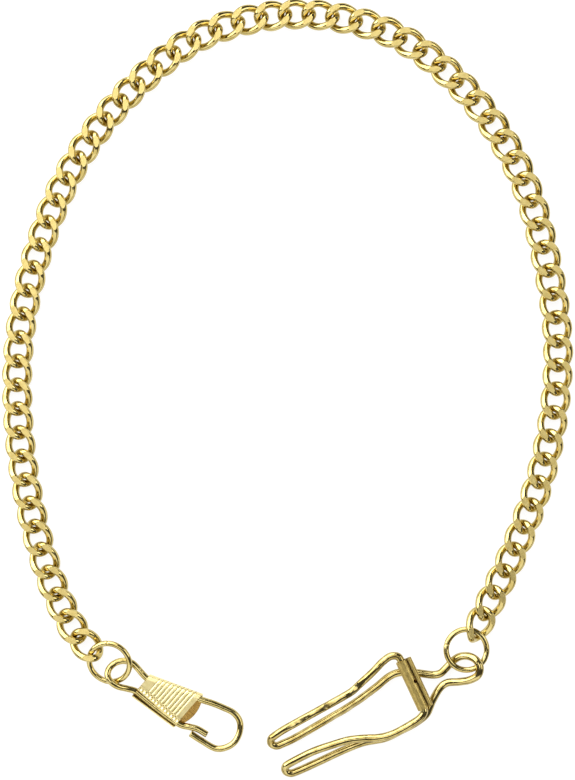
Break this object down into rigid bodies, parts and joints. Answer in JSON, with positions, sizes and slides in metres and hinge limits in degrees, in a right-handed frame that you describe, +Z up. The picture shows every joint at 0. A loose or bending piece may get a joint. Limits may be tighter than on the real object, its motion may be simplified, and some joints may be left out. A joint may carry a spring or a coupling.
{
  "type": "pocket watch chain",
  "caption": "Gilt curb chain for a pocket watch, laid out in an open loop, with a sprung snap hook at one end and a wire belt clip at the other.",
  "frame": {"origin": "centre of the object's bounding box in plan, at the flats it lies on", "axes": "+Z up from the surface the chain lies on, +Y from the two fittings towards the far end of the loop, +X from the hook's side to the clip's side"},
  "size_m": [0.1086, 0.148, 0.0045],
  "materials": {
    "polished_gilt": "polished gold plate",
    "satin_gilt": "satin gold plate"
  },
  "bodies": {
    "clip_back": {"clip_back_wire": "polished_gilt"},
    "clip_front": {"clip_front_left_leg": "polished_gilt", "clip_front_right_leg": "polished_gilt", "clip_sleeve": "satin_gilt"},
    "clip_ring": {"clip_jump_ring": "polished_gilt"},
    "link_66": {"link_66": "polished_gilt"},
    "link_65": {"link_65": "polished_gilt"},
    "link_64": {"link_64": "polished_gilt"},
    "link_63": {"link_63": "polished_gilt"},
    "link_62": {"link_62": "polished_gilt"},
    "links_60_61": {"links_60_61": "polished_gilt"},
    "link_59": {"link_59": "polished_gilt"},
    "link_58": {"link_58": "polished_gilt"},
    "links_56_57": {"links_56_57": "polished_gilt"},
    "link_55": {"link_55": "polished_gilt"},
    "link_54": {"link_54": "polished_gilt"},
    "links_52_53": {"links_52_53": "polished_gilt"},
    "link_51": {"link_51": "polished_gilt"},
    "link_50": {"link_50": "polished_gilt"},
    "links_48_49": {"links_48_49": "polished_gilt"},
    "link_47": {"link_47": "polished_gilt"},
    "link_46": {"link_46": "polished_gilt"},
    "links_44_45": {"links_44_45": "polished_gilt"},
    "link_43": {"link_43": "polished_gilt"},
    "link_42": {"link_42": "polished_gilt"},
    "links_40_41": {"links_40_41": "polished_gilt"},
    "link_39": {"link_39": "polished_gilt"},
    "link_38": {"link_38": "polished_gilt"},
    "links_36_37": {"links_36_37": "polished_gilt"},
    "link_35": {"link_35": "polished_gilt"},
    "link_34": {"link_34": "polished_gilt"},
    "links_32_33": {"links_32_33": "polished_gilt"},
    "link_31": {"link_31": "polished_gilt"},
    "link_30": {"link_30": "polished_gilt"},
    "links_28_29": {"links_28_29": "polished_gilt"},
    "link_27": {"link_27": "polished_gilt"},
    "link_26": {"link_26": "polished_gilt"},
    "links_24_25": {"links_24_25": "polished_gilt"},
    "link_23": {"link_23": "polished_gilt"},
    "link_22": {"link_22": "polished_gilt"},
    "links_20_21": {"links_20_21": "polished_gilt"},
    "link_19": {"link_19": "polished_gilt"},
    "link_18": {"link_18": "polished_gilt"},
    "links_16_17": {"links_16_17": "polished_gilt"},
    "link_15": {"link_15": "polished_gilt"},
    "link_14": {"link_14": "polished_gilt"},
    "links_12_13": {"links_12_13": "polished_gilt"},
    "link_11": {"link_11": "polished_gilt"},
    "link_10": {"link_10": "polished_gilt"},
    "links_08_09": {"links_08_09": "polished_gilt"},
    "link_07": {"link_07": "polished_gilt"},
    "link_06": {"link_06": "polished_gilt"},
    "links_04_05": {"links_04_05": "polished_gilt"},
    "link_03": {"link_03": "polished_gilt"},
    "link_02": {"link_02": "polished_gilt"},
    "link_01": {"link_01": "polished_gilt"},
    "hook_ring": {"hook_jump_ring": "polished_gilt"},
    "hook": {"hook_wire": "polished_gilt", "hook_sleeve": "satin_gilt"},
    "gate": {"hook_gate": "polished_gilt"}
  },
  "joints": [
    {"name": "clip_spring", "type": "hinge", "parent": "clip_back", "child": "clip_front", "pos_m": [-0.00304, -0.06639, 0.00173], "axis": [0.456, -0.89, 0], "range_deg": [0, 12], "stiffness_Nm_per_rad": 0.1},
    {"name": "clip_ring_swing", "type": "hinge", "parent": "clip_back", "child": "clip_ring", "pos_m": [0.03396, -0.05324, 0.00251], "axis": [0.8906, -0.4548, 0], "range_deg": [-30, 2]},
    {"name": "link_66_swing", "type": "hinge", "parent": "clip_ring", "child": "link_66", "pos_m": [0.03524, -0.04686, 0.0024], "axis": [-0.7774, 0.4527, 0.4367], "range_deg": [-10, 10]},
    {"name": "link_65_swing", "type": "hinge", "parent": "link_66", "child": "link_65", "pos_m": [0.03727, -0.04282, 0.00197], "axis": [-0.8515, 0.4553, 0.26], "range_deg": [-10, 10]},
    {"name": "link_64_swing", "type": "hinge", "parent": "link_65", "child": "link_64", "pos_m": [0.03931, -0.03878, 0.00165], "axis": [0.8844, -0.4498, -0.1242], "range_deg": [-20, 20]},
    {"name": "link_63_swing", "type": "hinge", "parent": "link_64", "child": "link_63", "pos_m": [0.04129, -0.03472, 0.00145], "axis": [0.9026, -0.4288, -0.0371], "range_deg": [-20, 20]},
    {"name": "link_62_swing", "type": "hinge", "parent": "link_63", "child": "link_62", "pos_m": [0.04315, -0.0306, 0.00136], "axis": [-0.9199, 0.3923, 0.001], "range_deg": [-20, 20]},
    {"name": "links_60_61_swing", "type": "hinge", "parent": "link_62", "child": "links_60_61", "pos_m": [0.04482, -0.0264, 0.00136], "axis": [-0.9357, 0.3527, 0], "range_deg": [-20, 20]},
    {"name": "link_59_swing", "type": "hinge", "parent": "links_60_61", "child": "link_59", "pos_m": [0.04773, -0.01784, 0.00136], "axis": [0.9586, -0.2849, 0], "range_deg": [-20, 20]},
    {"name": "link_58_swing", "type": "hinge", "parent": "link_59", "child": "link_58", "pos_m": [0.04891, -0.01348, 0.00136], "axis": [0.9719, -0.2352, 0], "range_deg": [-20, 20]},
    {"name": "links_56_57_swing", "type": "hinge", "parent": "link_58", "child": "links_56_57", "pos_m": [0.04985, -0.00905, 0.00136], "axis": [-0.983, 0.1834, 0], "range_deg": [-20, 20]},
    {"name": "link_55_swing", "type": "hinge", "parent": "links_56_57", "child": "link_55", "pos_m": [0.05108, -0.0001, 0.00136], "axis": [-0.9963, 0.0857, 0], "range_deg": [-20, 20]},
    {"name": "link_54_swing", "type": "hinge", "parent": "link_55", "child": "link_54", "pos_m": [0.05134, 0.00441, 0.00136], "axis": [0.9996, -0.0265, 0], "range_deg": [-20, 20]},
    {"name": "links_52_53_swing", "type": "hinge", "parent": "link_54", "child": "links_52_53", "pos_m": [0.0513, 0.00893, 0.00136], "axis": [0.9991, 0.0431, 0], "range_deg": [-20, 20]},
    {"name": "link_51_swing", "type": "hinge", "parent": "links_52_53", "child": "link_51", "pos_m": [0.05036, 0.01792, 0.00136], "axis": [-0.9875, -0.1574, 0], "range_deg": [-20, 20]},
    {"name": "link_50_swing", "type": "hinge", "parent": "link_51", "child": "link_50", "pos_m": [0.04956, 0.02236, 0.00136], "axis": [-0.9807, -0.1954, 0], "range_deg": [-20, 20]},
    {"name": "links_48_49_swing", "type": "hinge", "parent": "link_50", "child": "links_48_49", "pos_m": [0.04861, 0.02679, 0.00136], "axis": [0.9756, 0.2195, 0], "range_deg": [-20, 20]},
    {"name": "link_47_swing", "type": "hinge", "parent": "links_48_49", "child": "link_47", "pos_m": [0.04629, 0.03552, 0.00136], "axis": [0.9509, 0.3095, 0], "range_deg": [-20, 20]},
    {"name": "link_46_swing", "type": "hinge", "parent": "link_47", "child": "link_46", "pos_m": [0.04472, 0.03976, 0.00136], "axis": [-0.9215, -0.3883, 0], "range_deg": [-20, 20]},
    {"name": "links_44_45_swing", "type": "hinge", "parent": "link_46", "child": "links_44_45", "pos_m": [0.04277, 0.04384, 0.00136], "axis": [-0.8856, -0.4645, 0], "range_deg": [-20, 20]},
    {"name": "link_43_swing", "type": "hinge", "parent": "links_44_45", "child": "link_43", "pos_m": [0.038, 0.05151, 0.00136], "axis": [0.8063, 0.5915, 0], "range_deg": [-20, 20]},
    {"name": "link_42_swing", "type": "hinge", "parent": "link_43", "child": "link_42", "pos_m": [0.03518, 0.05504, 0.00136], "axis": [0.753, 0.658, 0], "range_deg": [-20, 20]},
    {"name": "links_40_41_swing", "type": "hinge", "parent": "link_42", "child": "links_40_41", "pos_m": [0.03208, 0.05832, 0.00136], "axis": [-0.705, -0.7092, 0], "range_deg": [-20, 20]},
    {"name": "link_39_swing", "type": "hinge", "parent": "links_40_41", "child": "link_39", "pos_m": [0.0252, 0.06418, 0.00136], "axis": [-0.5766, -0.817, 0], "range_deg": [-20, 20]},
    {"name": "link_38_swing", "type": "hinge", "parent": "link_39", "child": "link_38", "pos_m": [0.02136, 0.06656, 0.00136], "axis": [0.47, 0.8826, 0], "range_deg": [-20, 20]},
    {"name": "links_36_37_swing", "type": "hinge", "parent": "link_38", "child": "links_36_37", "pos_m": [0.01724, 0.06839, 0.00136], "axis": [0.3461, 0.9382, 0], "range_deg": [-20, 20]},
    {"name": "link_35_swing", "type": "hinge", "parent": "links_36_37", "child": "link_35", "pos_m": [0.00848, 0.07059, 0.00136], "axis": [-0.1444, -0.9895, 0], "range_deg": [-20, 20]},
    {"name": "link_34_swing", "type": "hinge", "parent": "link_35", "child": "link_34", "pos_m": [0.00398, 0.07102, 0.00136], "axis": [-0.0449, -0.999, 0], "range_deg": [-20, 20]},
    {"name": "links_32_33_swing", "type": "hinge", "parent": "link_34", "child": "links_32_33", "pos_m": [-0.00053, 0.07098, 0.00136], "axis": [-0.0638, 0.998, 0], "range_deg": [-20, 20]},
    {"name": "link_31_swing", "type": "hinge", "parent": "links_32_33", "child": "link_31", "pos_m": [-0.00944, 0.0695, 0.00136], "axis": [-0.2601, 0.9656, 0], "range_deg": [-20, 20]},
    {"name": "link_30_swing", "type": "hinge", "parent": "link_31", "child": "link_30", "pos_m": [-0.01373, 0.0681, 0.00136], "axis": [0.3617, -0.9323, 0], "range_deg": [-20, 20]},
    {"name": "links_28_29_swing", "type": "hinge", "parent": "link_30", "child": "links_28_29", "pos_m": [-0.01783, 0.0662, 0.00136], "axis": [0.4846, -0.8747, 0], "range_deg": [-20, 20]},
    {"name": "link_27_swing", "type": "hinge", "parent": "links_28_29", "child": "link_27", "pos_m": [-0.02517, 0.06095, 0.00136], "axis": [-0.6537, 0.7567, 0], "range_deg": [-20, 20]},
    {"name": "link_26_swing", "type": "hinge", "parent": "link_27", "child": "link_26", "pos_m": [-0.0285, 0.05789, 0.00136], "axis": [-0.6962, 0.7179, 0], "range_deg": [-20, 20]},
    {"name": "links_24_25_swing", "type": "hinge", "parent": "link_26", "child": "links_24_25", "pos_m": [-0.03167, 0.05467, 0.00136], "axis": [0.7354, -0.6776, 0], "range_deg": [-20, 20]},
    {"name": "link_23_swing", "type": "hinge", "parent": "links_24_25", "child": "link_23", "pos_m": [-0.03732, 0.04762, 0.00136], "axis": [0.8192, -0.5735, 0], "range_deg": [-20, 20]},
    {"name": "link_22_swing", "type": "hinge", "parent": "link_23", "child": "link_22", "pos_m": [-0.0398, 0.04384, 0.00136], "axis": [-0.8538, 0.5207, 0], "range_deg": [-20, 20]},
    {"name": "links_20_21_swing", "type": "hinge", "parent": "link_22", "child": "links_20_21", "pos_m": [-0.04201, 0.0399, 0.00136], "axis": [-0.8894, 0.4572, 0], "range_deg": [-20, 20]},
    {"name": "link_19_swing", "type": "hinge", "parent": "links_20_21", "child": "link_19", "pos_m": [-0.0456, 0.03161, 0.00136], "axis": [0.9395, -0.3426, 0], "range_deg": [-20, 20]},
    {"name": "link_18_swing", "type": "hinge", "parent": "link_19", "child": "link_18", "pos_m": [-0.04705, 0.02733, 0.00136], "axis": [0.9532, -0.3023, 0], "range_deg": [-20, 20]},
    {"name": "links_16_17_swing", "type": "hinge", "parent": "link_18", "child": "links_16_17", "pos_m": [-0.04833, 0.02299, 0.00136], "axis": [-0.965, 0.2621, 0], "range_deg": [-20, 20]},
    {"name": "link_15_swing", "type": "hinge", "parent": "links_16_17", "child": "link_15", "pos_m": [-0.05029, 0.01417, 0.00136], "axis": [-0.9858, 0.1678, 0], "range_deg": [-20, 20]},
    {"name": "link_14_swing", "type": "hinge", "parent": "link_15", "child": "link_14", "pos_m": [-0.05092, 0.00969, 0.00136], "axis": [0.9936, -0.1133, 0], "range_deg": [-20, 20]},
    {"name": "links_12_13_swing", "type": "hinge", "parent": "link_14", "child": "links_12_13", "pos_m": [-0.0513, 0.00519, 0.00136], "axis": [0.9986, -0.0534, 0], "range_deg": [-20, 20]},
    {"name": "link_11_swing", "type": "hinge", "parent": "links_12_13", "child": "link_11", "pos_m": [-0.05131, -0.00385, 0.00136], "axis": [-0.999, -0.0453, 0], "range_deg": [-20, 20]},
    {"name": "link_10_swing", "type": "hinge", "parent": "link_11", "child": "link_10", "pos_m": [-0.05102, -0.00836, 0.00136], "axis": [-0.9965, -0.0832, 0], "range_deg": [-20, 20]},
    {"name": "links_08_09_swing", "type": "hinge", "parent": "link_10", "child": "links_08_09", "pos_m": [-0.05055, -0.01286, 0.00136], "axis": [0.992, 0.1265, 0], "range_deg": [-20, 20]},
    {"name": "link_07_swing", "type": "hinge", "parent": "links_08_09", "child": "link_07", "pos_m": [-0.04906, -0.02177, 0.00136], "axis": [0.9794, 0.2017, 0], "range_deg": [-20, 20]},
    {"name": "link_06_swing", "type": "hinge", "parent": "link_07", "child": "link_06", "pos_m": [-0.04806, -0.02618, 0.00136], "axis": [-0.971, -0.239, 0], "range_deg": [-20, 20]},
    {"name": "links_04_05_swing", "type": "hinge", "parent": "link_06", "child": "links_04_05", "pos_m": [-0.04689, -0.03055, 0.00136], "axis": [-0.9598, -0.2807, 0], "range_deg": [-20, 20]},
    {"name": "link_03_swing", "type": "hinge", "parent": "links_04_05", "child": "link_03", "pos_m": [-0.04391, -0.03908, 0.00139], "axis": [0.9223, 0.3863, -0.0145], "range_deg": [-20, 20]},
    {"name": "link_02_swing", "type": "hinge", "parent": "link_03", "child": "link_02", "pos_m": [-0.04201, -0.04318, 0.00148], "axis": [0.8914, 0.4504, -0.0508], "range_deg": [-20, 20]},
    {"name": "link_01_swing", "type": "hinge", "parent": "link_02", "child": "link_01", "pos_m": [-0.03974, -0.04708, 0.00161], "axis": [-0.8191, -0.5631, 0.1091], "range_deg": [-10, 10]},
    {"name": "hook_ring_swing", "type": "hinge", "parent": "link_01", "child": "hook_ring", "pos_m": [-0.0366, -0.0503, 0.0018], "axis": [-0.5547, -0.8104, 0.1886], "range_deg": [-12, 30]},
    {"name": "hook_swing", "type": "hinge", "parent": "hook_ring", "child": "hook", "pos_m": [-0.03164, -0.05354, 0.00161], "axis": [0.6561, 0.7547, 0], "range_deg": [-25, 2]},
    {"name": "gate_spring", "type": "hinge", "parent": "hook", "child": "gate", "pos_m": [-0.02764, -0.05859, 0.00101], "axis": [0, 0, 1], "range_deg": [0, 15], "stiffness_Nm_per_rad": 0.05}
  ]
}
